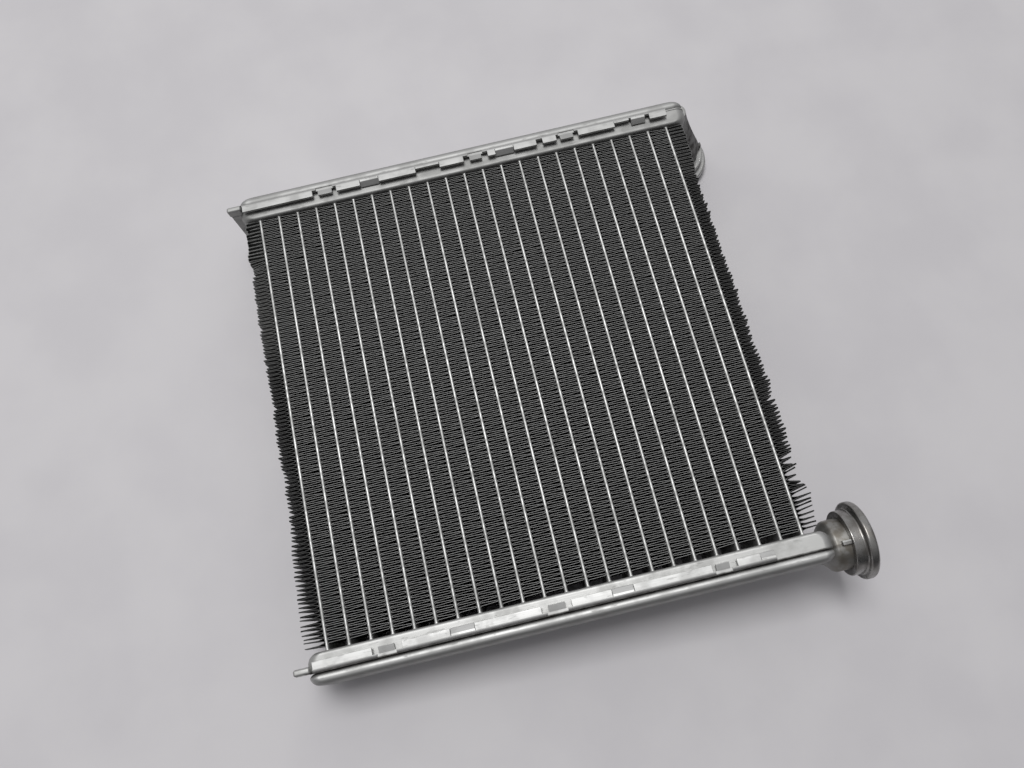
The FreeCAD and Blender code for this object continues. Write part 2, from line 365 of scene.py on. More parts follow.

# %% [markdown]
# ## Fin foil
# The foil is thin and dull, and it is painted nearly black as painted shade of the deep folds. Its folds
# are slit into louvres, drawn darker still as painted shade, and flux has left blotches on them. The front
# edge is painted lighter as a painted highlight, less on the open outer rows. Over some heights the outer
# rows are painted paler.
# The slits could be cut in the mesh, but there would be thousands, so a repeat over the depth draws them.

# %% Fin foil
louvre_pitch = 1.3
finish = Finish("folded_fin_foil", {"Metallic": 0.7})
across, along, depth = (finish.coordinate(axis) for axis in "XYZ")
slit = finish.between((depth / louvre_pitch).fraction(), 0.86, 0.94)
blotch = finish.between(finish.noise(finish.place(), 700.0, 4.0), 0.40, 0.68)
streak = finish.noise(finish.place((90.0, 500.0, 90.0)), 1.0, 3.0)
# Painted highlight along the front edge of the foil, weaker on the open outer rows.
lit_edge = finish.between(depth, fin_half_depth - 0.16, fin_half_depth - 0.04)
open_row = finish.between(abs(across), last_tube_x + 0.6, last_tube_x + 1.2)
# Over some heights the outer rows are painted paler.
on_right = finish.between(across, -10.0, 10.0)
pale_left = (1.0 - on_right) * finish.between(along, 12.0, 40.0) * 0.85
pale_right = on_right * finish.between(along, 60.0, 66.0) * 0.6
pale_rows = open_row * (pale_left + pale_right)
edge_highlight = lit_edge * (1.0 - open_row * 0.72) * (0.75 + streak * 0.25)
# Painted shade: the foil is painted nearly black, and the slits darker still.
metal = finish.tint(blotch, colour(0.022, 0.022, 0.022), colour(0.048, 0.048, 0.047))
metal = finish.tint(slit * 0.7, metal, colour(0.015, 0.015, 0.015))
metal = finish.tint(pale_rows, metal, colour(0.19, 0.19, 0.185))
finish.set("Base Color", finish.tint(edge_highlight, metal, colour(0.33, 0.33, 0.325)))
finish.set("Roughness", 0.56 + blotch * 0.12 + streak * 0.10)
finish.relief(1.0 - slit, 0.15)
foil = finish.material
print("fin finish:", foil.name)

# %% [markdown]
# ## Folded fins
# A fin strip is foil run through a pair of toothed rollers into tight folds. An array of copies of one
# fold would be quick, but real folds aren't equal: they lean, spread and get combed by whatever brushed
# the face. So each strip is one long zigzag line, drawn fold by fold with a little seeded scatter, then
# given the foil's thickness and the depth of the core.

# %% Fold sizes
fin_width = tube_pitch - tube_thickness
fold_pitch = 1.61
foil_thickness = 0.13
fold_scatter = 0.05
fin_end = span(fin_names[1])[1].y
print("folds in an inner strip:", round(2 * fin_end / fold_pitch), "of width", round(fin_width, 2))

# %% [markdown]
# The free tip of a fold is a small arc, drawn with five points: each stands a share of the tip's length
# back and a share of its half width up. In the open rows of the two sides nothing held the tips apart,
# so the two legs of a fold are pressed together into one bar, which hinges near the tube.

# %% Fold line
tip_round = 0.34
leg_slant = 0.29
bar_tip = 0.12
hinge_share = 0.28
hinge_follows = 0.2
tip_arc = [(1.0, 1.0), (0.25, 0.55), (0.0, 0.0), (0.25, -0.55), (1.0, -1.0)]


def fold_line(rng, x_in, x_out, top, bottom, reach_at, lean_at, bar_at=None):
    """Zigzag from top to bottom, with inner tips on x_in and outer ones reaching towards x_out.

    Each point is (x, y, wander), and wander says how far the foil may bend there. Where folds are
    pressed into bars, bar_at gives their half width by height.
    """
    folds = round((top - bottom) / fold_pitch)
    pitch = (top - bottom) / folds
    side = 1 if x_out > x_in else -1
    line = [(x_in, top, 0.0)]
    for k in range(folds):
        y = top - k * pitch
        middle = y - pitch / 2
        reach = reach_at(middle) * (x_out - x_in)
        shift = rng.gauss(0.0, fold_scatter) + lean_at(middle)
        half, length = (bar_at(middle), bar_tip) if bar_at else (leg_slant, tip_round)
        hinge_x, hinge_y = x_in + reach * hinge_share, middle + shift * hinge_follows
        line.append((x_in + side * tip_round, y - leg_slant, 0.2))
        if bar_at:
            line.append((hinge_x, hinge_y + half, 0.4))
        for back, up in tip_arc:
            line.append((x_in + reach - side * length * back, middle + shift + half * up, 1.0))
        if bar_at:
            line.append((hinge_x, hinge_y - half, 0.4))
        line.append((x_in + side * tip_round, y - pitch + leg_slant, 0.2))
        line.append((x_in, y - pitch, 0.0))
    return line


print("points of a tip:", len(tip_arc))

# %% [markdown]
# The line becomes foil by stepping half a thickness to each side of it. Fingers and combs touch only the
# front and the back, so a shallow band at each face is bent a little and the middle stays straight. Dents
# push a few folds of the front aside together.

# %% Foil from a fold line
front_band = 1.6
bend_spread = 0.06
fold_stride = 4


def foil_outline(line):
    """Both sides of the foil along a line, as one run of (x, y)."""
    half = foil_thickness / 2
    upper, lower = [], []
    for k, (x, y, _) in enumerate(line):
        before = line[max(k - 1, 0)]
        after = line[min(k + 1, len(line) - 1)]
        way = Vector((after[0] - before[0], after[1] - before[1]))
        way = way.normalized() if way.length > 0 else Vector((1.0, 0.0))
        upper.append((x - way.y * half, y + way.x * half))
        lower.append((x + way.y * half, y - way.x * half))
    return upper + lower[::-1]


def foil_strip(name, line, rng, dents):
    """Closed strip of foil along a fold line, through the depth of the core."""
    outline = foil_outline(line)
    wanders = [wander for _, _, wander in line + line[::-1]]
    bends = [rng.gauss(0.0, bend_spread) for _ in range(len(line) // fold_stride + 2)]
    levels = [(fin_half_depth, 1.0), (fin_half_depth - front_band, 0.0),
              (front_band - fin_half_depth, 0.0), (-fin_half_depth, -1.0)]
    rings = []
    for z, share in levels:
        ring = []
        for k, ((x, y), wander) in enumerate(zip(outline, wanders)):
            along = k if k < len(line) else len(outline) - 1 - k
            bend = bends[(along + 2) // fold_stride] * share
            if share > 0:
                for dent_x, dent_y, size, push in dents:
                    bend += push * math.exp(-((x - dent_x) ** 2 + (y - dent_y) ** 2) / size ** 2)
            ring.append((x, y + bend * wander, z))
        rings.append(ring)
    return loft_band(name, rings, len(line))


def loft_band(name, rings, count):
    """Solid through rings that are two long lines back to back, with a band of faces at each end."""
    around = 2 * count
    points = [p for ring in rings for p in ring]
    faces = skin(around, len(points))
    for start in (0, len(points) - around):
        for i in range(count - 1):
            faces.append((start + i, start + i + 1, start + around - 2 - i, start + around - 1 - i))
    return solid(name, points, faces)


print("foil", foil_thickness, "thick")

# %% [markdown]
# The inner strips stand between two tubes and stay regular. The two outer strips are open on one side,
# and there nothing holds the folds: they were knocked in transport, so at some heights they are pushed
# in, at others they stand out or lean. Short tables by height say where, and a seeded scatter keeps
# neighbours unequal.

# %% Unequal folds
reach_spread = 0.035
lean_spread = 0.13


def soft_table(table):
    """Function that reads a value by height between the pairs of a table, from top to bottom."""
    def read(y):
        for (high, first), (low, second) in zip(table, table[1:]):
            if high >= y >= low:
                return second + (first - second) * (y - low) / (high - low)
        return table[0][1] if y > table[0][0] else table[-1][1]
    return read


def leaning(groups, rng):
    """Function that gives how far a free tip is moved along Y: groups of folds lean together."""
    def read(y):
        lean = sum(push * math.exp(-((y - place) / size) ** 2) for place, size, push in groups)
        return lean + rng.gauss(0.0, lean_spread)
    return read


def ragged_reach(table, rng):
    """Reach by height with a scatter from fold to fold."""
    smooth = soft_table(table)
    return lambda y: smooth(y) + rng.gauss(0.0, reach_spread)


print("scatter of reach and lean:", reach_spread, lean_spread)

# %% [markdown]
# The left row is pressed back in its upper third and spreads outwards towards the lower header. The
# right row has gaps where folds are torn away, and near its lower end they tangle. Heights are counted
# from the middle of the core, and a reach of 1 is a full fold.

# %% Damage of the outer rows
left_reach = [
    (87.0, 0.84), (78.0, 0.88), (73.0, 0.95), (69.0, 0.93), (66.0, 0.74), (63.0, 0.90), (54.0, 0.94),
    (20.0, 0.92), (10.0, 0.85), (2.0, 0.85), (-8.0, 0.94), (-14.0, 0.92), (-22.0, 0.80), (-30.0, 0.88),
    (-38.0, 0.84), (-45.0, 0.92), (-52.0, 1.02), (-60.0, 1.08), (-74.0, 1.09), (-87.0, 1.13),
]
right_reach = [
    (87.0, 0.92), (68.0, 0.90), (64.0, 0.74), (53.0, 0.73), (44.0, 0.84), (35.0, 0.80), (25.0, 0.77),
    (16.0, 0.86), (7.0, 0.80), (-1.0, 0.78), (-18.0, 0.85), (-27.0, 0.90), (-33.5, 0.93), (-35.5, 0.66),
    (-37.0, 0.90), (-55.0, 0.87), (-58.0, 0.84), (-61.0, 0.58), (-63.5, 0.86), (-66.0, 0.62), (-69.0, 0.85),
    (-74.0, 1.0), (-81.0, 0.93), (-87.0, 0.72),
]
left_leans = [(67.5, 1.5, -1.3), (30.0, 6.0, 0.4), (-22.0, 2.0, 0.6), (-38.0, 3.0, -0.6)]
right_leans = [
    (50.0, 5.0, 0.5), (-34.5, 1.2, 0.7), (-58.5, 1.5, 1.0), (-61.5, 1.2, -0.9), (-64.5, 1.4, 1.4),
    (-68.5, 1.6, -1.3), (-72.5, 1.8, 1.3), (-79.0, 2.5, 0.8),
]
left_bars = [(87.0, 0.71), (70.0, 0.66), (66.0, 0.28), (-50.0, 0.22), (-87.0, 0.16)]
right_bars = [(87.0, 0.56), (66.0, 0.48), (60.0, 0.28), (-56.0, 0.27), (-60.0, 0.22), (-87.0, 0.20)]
print("heights in the tables:", len(left_reach), len(right_reach))

# %% [markdown]
# Every strip has its own seeded generator, so a change to one leaves the others as they are. An inner
# strip ends at a chance height, because strips slip while the core is stacked.

# %% Fin strips
braze_gap = 0.03
first_seed = 310
slip = 1.6
outer_rest = 0.4
dent_ranges = [(0.0, fin_width), (-80.0, 80.0), (1.0, 2.2), (-0.5, 0.5)]
top = core_half - 0.08
lowest = -fin_end + 0.2
last = len(fin_names) - 1


def open_row_line(rng, x_in, x_out, reaches, leans, bars):
    """Fold line of an outer row: ragged, leaning in groups and pressed into bars."""
    return fold_line(rng, x_in, x_out, top, lowest + outer_rest, ragged_reach(reaches, rng),
                     leaning(leans, rng), soft_table(bars))


for number, node in enumerate(fin_names):
    rng = random.Random(first_seed + number)
    left_face = first_tube_x + (number - 1) * tube_pitch + tube_thickness / 2 + braze_gap
    if number == 0:
        x_in = first_tube_x - tube_thickness / 2 - braze_gap
        line = open_row_line(rng, x_in, x_in - fin_width, left_reach, left_leans, left_bars)
    elif number == last:
        line = open_row_line(rng, left_face, left_face + fin_width, right_reach, right_leans, right_bars)
    else:
        bottom = lowest + rng.uniform(0.0, slip)
        right_face = left_face + fin_width - 2 * braze_gap
        line = fold_line(rng, left_face, right_face, top, bottom, lambda y: 1.0, lambda y: 0.0)
    dents = []
    for _ in range(rng.randint(1, 3)):
        x, y, size, push = (rng.uniform(*limits) for limits in dent_ranges)
        dents.append((left_face + x, y, size, push))
    strip = foil_strip(f"folded_{node}", line, rng, dents)
    finished(strip, foil, "fins", node, crease=50)
print("fin strips:", len(fin_names))

# %% [markdown]
# ## Pan metal
# The pans are pressed from rolled sheet, which has a fine grain along the header. Over it lie dull clouds
# of flux and a few scuffs. As painted shade, the upper header and the dome above the groove are painted
# darker, the crown of the dome darkest, and the groove beside the rim dark too. Near the necks the furnace
# has stained the sheet, and the stain also carries painted shade: nearly black on the upper header, and
# darker on the underside of the lower one. Each mark could be a painted picture, but a mask worked out
# from the place on the piece needs none.

# %% Pressed pan metal
rolled_grain = (60.0, 1800.0, 1800.0)
scuff_grain = (260.0, 900.0, 900.0)
stain_and_shade_start = last_tube_x + 8.0
groove_shade_start = first_tube_x - 8.3
seam_side = core_half + 6.2


def pan_metal(name, bright, dull):
    """Rolled sheet with its grain, flux clouds and scuffs, painted shade on the upper header, dome, crown and
    groove, and heat stains that carry painted shade.
    """
    finish = Finish(name, {"Metallic": 0.85})
    grain = finish.noise(finish.place(rolled_grain), 1.0, 2.0)
    clouds = finish.between(finish.noise(finish.place(), 140.0, 5.0), 0.42, 0.66)
    scuffs = finish.between(finish.noise(finish.place(scuff_grain), 1.0, 4.0), 0.60, 0.70)
    blotches = finish.between(finish.noise(finish.place(), 330.0, 5.0), 0.34, 0.62)
    along, across, depth = (finish.coordinate(axis) for axis in "XYZ")
    height = abs(across) - seam_side
    upper = finish.between(across, -10.0, 10.0)

    base = finish.tint(clouds, bright, dull)
    base = finish.tint(scuffs * 0.35, base, colour(0.34, 0.34, 0.33))
    # Painted shade: the upper header and the dome above the groove are painted darker, and the crown darkest,
    # most on the lower header.
    shade_grey = colour(0.26, 0.26, 0.255)
    base = finish.tint(upper * 0.34, base, shade_grey)
    base = finish.tint(finish.between(height, 1.2, 2.0) * 0.28, base, shade_grey)
    crown = finish.between(height, 3.1, 4.5) * (0.60 - upper * 0.45)
    base = finish.tint(crown, base, colour(0.18, 0.18, 0.175))

    # Painted shade in the groove beside the rim, mostly on the lower header.
    groove = finish.between(height, -0.2, 0.3) * (1.0 - finish.between(height, 0.9, 1.7))
    groove = groove * finish.between(along, groove_shade_start, groove_shade_start + 0.4)
    groove_shade = groove * (1.0 - upper * 0.85) * (0.55 + blotches * 0.3)
    base = finish.tint(groove_shade, base, colour(0.07, 0.065, 0.06))

    # Near the necks a furnace stain that also carries painted shade: nearly black on the upper header, and
    # darker on the underside of the lower one.
    on_tab = finish.between(depth, 9.7, 10.0) * (1.0 - upper)
    below = upper * (1.0 - finish.between(depth, -18.0, -12.0))
    patches = 0.42 + upper * 0.20 + blotches * (0.58 - upper * 0.20 - below * 0.18)
    stain = finish.between(along, stain_and_shade_start, stain_and_shade_start + 5.0) * patches * (1.0 - on_tab)
    underside_shade = (1.0 - finish.between(depth, -6.0, 1.0)) * (1.0 - upper)
    burnt_and_shaded = finish.tint(upper, colour(0.19, 0.175, 0.152), colour(0.055, 0.053, 0.050))
    burnt_and_shaded = finish.tint(underside_shade * 0.6, burnt_and_shaded, colour(0.075, 0.072, 0.068))
    finish.set("Base Color", finish.tint(stain, base, burnt_and_shaded))

    finish.set("Roughness", 0.47 + upper * 0.08 + grain * 0.08 + clouds * 0.06 + scuffs * 0.08)
    finish.relief(grain * 0.5 + clouds * 0.5, 0.03)
    return finish.material


inner_sheet = pan_metal("inner_pan_metal", colour(0.44, 0.44, 0.43), colour(0.37, 0.37, 0.36))
outer_sheet = pan_metal("outer_pan_metal", colour(0.55, 0.55, 0.54), colour(0.47, 0.47, 0.46))
print("nodes of a pan finish:", len(inner_sheet.node_tree.nodes))

# %% [markdown]
# ## Header pans
# Each header is two pressed pans with their rims together. A pan could be cut from a block with rounded
# edges, but a stack of rounded rectangles follows what the press does and keeps the corners clean.
# Heights are counted outwards from the floor of the inner pan.

# %% Pan sizes
plate_half = 15.2
wall_half = 14.85
seam = 6.2
pan_corner = 4.0
sheet_wall = 1.2
skirt_face = plate_half + 2.4
left_end = first_tube_x - 8.0
right_end = last_tube_x + 9.5
corner_points = 9


def to_core(end, x, height, z):
    """Point of a header in the frame: the upper header grows up from the core, the lower one down."""
    return (x, end * (core_half + height), z)


def pan_ring(end, height, half, end_inset, corner):
    """Rounded rectangle across a header, of a half depth and drawn in at its two ends."""
    low, high = left_end + end_inset, right_end - end_inset
    ring = []
    for x, z, start in ((high - corner, half - corner, 0), (low + corner, half - corner, 1),
                        (low + corner, corner - half, 2), (high - corner, corner - half, 3)):
        for k in range(corner_points):
            turn = math.pi / 2 * (start + k / (corner_points - 1))
            ring.append(to_core(end, x + corner * math.cos(turn), height, z + corner * math.sin(turn)))
    return ring


def drawn_in(radius, height):
    """How far a rounded edge still stands back at a height above its start."""
    rest = max(radius - height, 0.0)
    return radius - math.sqrt(radius * radius - rest * rest)


print("header length", round(right_end - left_end, 2))

# %% [markdown]
# The outer pan swells out of a groove beside its rim, then has a small shoulder arc and one wide crown
# arc, while its two ends come down in a quarter circle. The stack of rings takes both at once: the arch
# gives each ring its half depth and its height, and the height gives how far the ends have drawn in.

# %% Dome profile
dome_crest = seam + 5.8
dome_spring = seam + 2.7
dome_shoulder = 2.3
dome_end_round = 4.4
groove_half = plate_half - 2.4
groove_height = seam + 0.62
swell_round = 1.85
swell_steep = 80.0
arc_steps = 6
crown_steps = 12
crown_reach = 11.6
crown_crowding = 0.8


def dome_profile(inset=0.0):
    """Pairs of height and half depth from the seam to the crest, drawn in all round by an inset."""
    shoulder = dome_shoulder - inset
    span_half = plate_half - dome_shoulder
    rise = dome_crest - dome_spring - inset
    crown = (span_half ** 2 + rise ** 2 - shoulder ** 2) / (2 * (rise - shoulder))
    lean = math.atan2(crown - rise, span_half)
    pairs = [(seam, groove_half - inset)]
    if inset == 0.0:
        for k in range(arc_steps + 1):
            turn = math.radians(swell_steep) * (1 - k / arc_steps)
            pairs.append((groove_height + swell_round * (1 - math.sin(turn)),
                          plate_half - swell_round * (1 - math.cos(turn))))
    for k in range(arc_steps + 1):
        turn = lean * k / arc_steps
        pairs.append((dome_spring + shoulder * math.sin(turn), span_half + shoulder * math.cos(turn)))
    for k in range(1, crown_steps):
        turn = lean + (math.pi / 2 - lean) * (k / crown_reach) ** crown_crowding
        pairs.append((dome_spring + rise - crown * (1 - math.sin(turn)), crown * math.cos(turn)))
    return pairs


def dome_rings(end, inset=0.0):
    """Rings of the outer pan's back."""
    rings = []
    for height, half in dome_profile(inset):
        end_inset = inset + drawn_in(dome_end_round - inset, dome_crest - inset - height)
        if height < dome_spring:
            end_inset = max(end_inset, plate_half - half)
        corner = min(pan_corner - inset + 0.6 * end_inset, 0.9 * half)
        rings.append(pan_ring(end, height, half, end_inset, corner))
    return rings


print("rings of a dome:", len(dome_profile()))

# %% [markdown]
# ## Necks
# A port needs a round neck, but a header is flat, so both pans are drawn into a half-round ramp that
# widens into half of the neck. On the lower header the neck goes on along the header. On the upper one
# it turns to the back, so its ramp starts small at the front corner and widens all the way.

# %% Neck places
neck_radius = 9.6
neck_wall = 1.3
neck_reach = 3.2
lower_ramp_start = last_tube_x + 7.6
lower_ramp_radius = seam - 0.4
lower_neck_start = lower_ramp_start + 4.8
lower_stop = lower_neck_start + 4.6
upper_ramp_start = last_tube_x + 7.0
upper_ramp_front = 12.5
upper_ramp_radius = 3.4
upper_neck_x = last_tube_x + 11.5
upper_stop = -plate_half - 5.7
print("neck ends: lower x", round(lower_stop, 2), "upper z", round(upper_stop, 2))

# %% Ramps and necks
upper_steps = 14
lower_steps = 8
widening = 1.3


def neck_stations(upper, inset):
    """Places and radii along a ramp and neck: (x, z, radius)."""
    stations = []
    if upper:
        for k in range(upper_steps + 1):
            share = k / upper_steps
            x = upper_ramp_start + (upper_neck_x - upper_ramp_start) * share
            z = upper_ramp_front - inset + (-plate_half - upper_ramp_front + inset) * share
            radius = upper_ramp_radius + (neck_radius - upper_ramp_radius) * share ** widening - inset
            stations.append((x, z, radius))
        for z in (upper_stop, upper_stop - neck_reach):
            stations.append((upper_neck_x, z, neck_radius - inset))
    else:
        for k in range(lower_steps + 1):
            share = k / lower_steps
            x = lower_ramp_start + (lower_neck_start - lower_ramp_start) * share
            eased = share * share * (3 - 2 * share)
            radius = lower_ramp_radius + (neck_radius - lower_ramp_radius) * eased - inset
            stations.append((x, 0.0, radius))
        for x in (lower_stop, lower_stop + neck_reach):
            stations.append((x, 0.0, neck_radius - inset))
    return stations


def passage(end, inset, part, name):
    """Ramp and neck as a closed solid: the outer half, the inner half, or the whole passage."""
    upper = end > 0
    arcs = {"outer": (0.0, math.pi), "inner": (math.pi, 2 * math.pi), "whole": (0.0, 2 * math.pi)}
    first, last = arcs[part]
    steps = 48 if part == "whole" else 32
    rings = []
    for x, z, radius in neck_stations(upper, inset):
        ring = []
        for k in range(steps + (part != "whole")):
            turn = first + (last - first) * k / steps
            across, height = radius * math.cos(turn), seam + radius * math.sin(turn)
            point = (x + across, height, z) if upper else (x, height, z + across)
            ring.append(to_core(end, *point))
        rings.append(ring)
    return loft(name, rings)


print("stations of the necks:", len(neck_stations(True, 0.0)), len(neck_stations(False, 0.0)))

# %% [markdown]
# ## Lugs and tabs
# At the left end the flanges of both pans make a lug, with a round tongue at the front, and a small tab
# of both pans meets each port. They could be curves with a thickness, but a block with softened edges
# joins a pan more cleanly.

# %% Lugs and tabs
lug_length = 3.4
lug_hold = 4.0
lug_side = plate_half - 2.0
tongue_length = 4.0
tongue_hold = 2.0
tongue_width = 4.6
tongue_round = 0.85
tab_length = 3.4
tab_width = 1.8
tab_sink = 0.65
tab_gap = 0.1


def bar(end, name, x_low, x_high, section):
    """Straight bar along X on a section of (height, z)."""
    return loft(name, [[to_core(end, x, height, z) for height, z in section] for x in (x_low, x_high)])


def block(end, name, x_low, x_high, section, width=0.2, segments=2):
    """Bar with softened edges."""
    return soften(bar(end, name, x_low, x_high, section), width, segments)


def rectangle(low, high, back, front):
    """Section between two heights and two depths."""
    return [(low, back), (high, back), (high, front), (low, front)]


def lug(end, low, high, inset=0.0):
    """Left end: a flange over the full depth and a longer tongue at the front, drawn in by an inset."""
    flange = block(end, "lug_flange", left_end - lug_length, left_end + lug_hold,
                   rectangle(low, high, -lug_side, lug_side), 0.35)
    section = rectangle(low, high, skirt_face - tongue_width + inset, skirt_face - inset)
    tongue = block(end, "lug_tongue", left_end - tongue_length + inset, left_end + tongue_hold, section,
                   tongue_round, 4)
    return [flange, tongue]


def neck_tab(end, low, high):
    """Small seam tab at the side of the neck, against the port."""
    inside, outside = neck_radius - tab_sink, neck_radius + tab_width
    if end > 0:
        section = rectangle(low, high, upper_stop + tab_gap, upper_stop + tab_length)
        return block(end, "neck_tab", upper_neck_x + inside, upper_neck_x + outside, section, 0.15)
    section = rectangle(low, high, inside, outside)
    return block(end, "neck_tab", lower_stop - tab_length, lower_stop - tab_gap, section, 0.15)


print("tongue", tongue_width, "wide")

# %% [markdown]
# ## Inner pan
# The inner pan, or header plate, holds the tube ends. It is a shallow tray with a round lower edge, a
# lug at its left end and the core-side half of the neck. It is lofted solid, and its inside and the bore
# of the neck are cut last.

# %% Header plates
pan_side_round = 1.0
pan_end_round = 4.0
edge_steps = 12
floor_wall = 1.4
hollow_corner = 2.6
plate_lug = (seam - 2.1, seam + 0.3)
plate_tab = (seam - 0.85, seam - 0.02)


def header_plate(end):
    """Inner pan of one header."""
    rings = []
    for k in range(edge_steps + 1):
        height = pan_end_round * (1 - math.cos(math.pi / 2 * k / edge_steps))
        half = wall_half - drawn_in(pan_side_round, height)
        rings.append(pan_ring(end, height, half, drawn_in(pan_end_round, height), pan_corner))
    rings.append(pan_ring(end, seam, wall_half, 0.0, pan_corner))
    pan = loft("pan", rings)
    inside = wall_half - sheet_wall
    hollow = loft("pan_hollow", [pan_ring(end, height, inside, end_inset, hollow_corner)
                                 for height, end_inset in ((floor_wall, 3.5), (3.4, 1.4), (seam + 1.0, 1.4))])
    carve(pan, "UNION", [passage(end, 0.0, "inner", "half_neck")])
    carve(pan, "UNION", lug(end, *plate_lug) + [neck_tab(end, *plate_tab)])
    return carve(pan, "DIFFERENCE", [hollow, passage(end, neck_wall, "whole", "bore")])


for label, end in (("upper", 1), ("lower", -1)):
    pan = header_plate(end)
    pan.name = f"inner_pan_{label}"
    finished(pan, inner_sheet, "header_plates", f"header_plate_{label}")
    print(pan.name, "faces", len(pan.data.polygons))

# %% [markdown]
# ## Outer pan
# The outer pan, or tank, closes the header. Its sheet rolls over outwards in one bend along the front
# and comes down over the wall of the inner pan. The bend could follow a path, but it is straight, so one
# section drawn out along X is enough, with a dark gap behind the sheet.

# %% Rolled bend
bend_start = seam - 0.9
bend_radius = 1.4
bend_turn = 84.0
bend_steps = 8
groove_foot = 13.1
sheet_gap = 1.3
seat = plate_half + 0.04


def bend_section(side):
    """Section of the bend as (height, z): rolled outside, steep into the groove, closed at its back."""
    section = []
    for k in range(bend_steps + 1):
        turn = math.radians(bend_turn) * k / bend_steps
        section.append((bend_start + bend_radius * math.sin(turn),
                        skirt_face - bend_radius * (1 - math.cos(turn))))
    section += [(groove_height + 0.06, groove_foot), (groove_height + 0.06, groove_half - 0.5),
                (seam + 0.02, groove_half - 0.5), (seam + 0.02, seat), (seam - 0.4, seat),
                (bend_start, skirt_face - sheet_gap)]
    return [(height, side * z) for height, z in section]


print("points of the bend's section:", len(bend_section(1)))

# %% [markdown]
# Under the bend the skirt is crimped in stretches. Most lie flat, some are pressed in as tabs by a punch
# that also marks the bend, some slope or are folded in, and some were cut back. Each stretch is its own
# small block, so every notch has real edges. A form is the outer line of a stretch as (height, z), and
# the lists say where each stretch starts and ends.

# %% Forms of the crimps
forms = {
    "full": [(5.5, skirt_face), (2.8, skirt_face)],
    "cut_back": [(5.5, skirt_face), (4.5, skirt_face)],
    "pressed": [(5.5, 16.5), (2.9, 17.2)],
    "sloped": [(5.5, skirt_face), (4.7, 17.55), (2.7, 16.5)],
    "folded_in": [(5.5, skirt_face), (4.5, 17.45), (2.9, 15.7)],
}
skirts = {
    "upper": [
        (-93.5, -63.6, "full"), (-61.5, -55.5, "pressed"), (-53.6, -43.4, "full"),
        (-43.4, -35.5, "folded_in"), (-35.5, -19.6, "full"), (-19.6, -9.4, "cut_back"), (-9.4, 1.0, "full"),
        (3.5, 8.7, "pressed"), (11.3, 14.7, "full"), (14.7, 22.6, "folded_in"), (22.6, 32.4, "full"),
        (35.0, 41.0, "full"), (42.6, 48.3, "pressed"), (50.3, 66.1, "full"), (66.1, 72.6, "cut_back"),
        (73.4, 79.5, "folded_in"), (81.2, 88.6, "full"),
    ],
    "lower": [
        (-93.0, -71.4, "full"), (-69.3, -63.5, "pressed"), (-60.7, -43.2, "full"), (-43.2, -34.4, "sloped"),
        (-34.4, -10.2, "full"), (-7.8, -1.5, "pressed"), (0.7, 15.5, "full"), (15.5, 23.4, "sloped"),
        (23.4, 52.1, "full"), (53.5, 58.5, "pressed"), (61.2, 69.8, "full"), (69.8, 75.2, "sloped"),
    ],
}
print("stretches:", len(skirts["upper"]), "and", len(skirts["lower"]))

# %% Crimped skirts
punch_margin = 0.6
punch_section = [(4.0, skirt_face + 1.0), (6.9, skirt_face + 1.0), (6.45, 16.45), (5.3, 16.5), (4.0, 17.0)]


def skirt_block(end, x_low, x_high, form):
    """One stretch of the front skirt under the bend."""
    outside = forms[form]
    inside = [(height, max(z - sheet_gap, seat)) for height, z in (outside[-1], outside[0])]
    return block(end, f"skirt_{form}", x_low + 0.05, x_high - 0.05, outside + inside, 0.16)


print("points of the punch's section:", len(punch_section))

# %% [markdown]
# The tank is put together in the order of the real work: dome and rim, half neck, bends, crimps, lug and
# tab. The room for the water is cut last, so nothing that was joined can stand in it.

# %% Tanks
rim_steps = [(0.01, 0.0), (0.3, 0.0), (0.56, 0.12), (0.62, 0.35)]
tank_lug = (seam + 0.32, seam + 0.5)
tank_tab = (seam + 0.02, seam + 0.85)


def tank(end, stretches):
    """Outer pan of one header."""
    pan = loft("dome", dome_rings(end))
    rim = loft("rim", [pan_ring(end, seam + height, plate_half - inset, inset, pan_corner - inset)
                       for height, inset in rim_steps])
    front = bar(end, "bend", stretches[0][0], stretches[-1][1], bend_section(1))
    carve(front, "DIFFERENCE", [bar(end, "punch", low - punch_margin, high + punch_margin, punch_section)
                                for low, high, form in stretches if form == "pressed"])
    back_end = upper_neck_x - neck_radius - 2.0 if end > 0 else right_end - 4.0
    high, low = bend_start + 0.2, seam - 3.4
    back = block(end, "back_skirt", left_end + lug_hold, back_end,
                 [(high, -seat), (high, -skirt_face), (low, -skirt_face), (low, -seat)])
    carve(pan, "UNION", [rim])
    carve(pan, "UNION", [passage(end, 0.0, "outer", "half_neck")])
    carve(pan, "UNION", [front, bar(end, "bend", left_end + lug_hold, back_end, bend_section(-1))])
    carve(pan, "UNION", [skirt_block(end, *stretch) for stretch in stretches] + [back])
    carve(pan, "UNION", lug(end, *tank_lug, tongue_round) + [neck_tab(end, *tank_tab)])
    hollow = loft("dome_hollow", dome_rings(end, sheet_wall))
    return carve(pan, "DIFFERENCE", [hollow, passage(end, neck_wall, "whole", "bore")])


for label, end in (("upper", 1), ("lower", -1)):
    pan = tank(end, skirts[label])
    pan.name = f"outer_pan_{label}"
    finished(pan, outer_sheet, "tanks", f"tank_{label}")
    print(pan.name, "faces", len(pan.data.polygons))

# %% [markdown]
# ## Port metal
# A lathe leaves fine rings round the axis of a port, and the furnace a brown stain and dark specks. The
# rings could be a wave texture, but a noise that is squeezed along the axis is uneven, as tool marks are.
# The port that lies along the header is also painted darker on its underside, as painted shade.

# %% Turned port metal
tool_marks = 3000.0
round_marks = 25.0


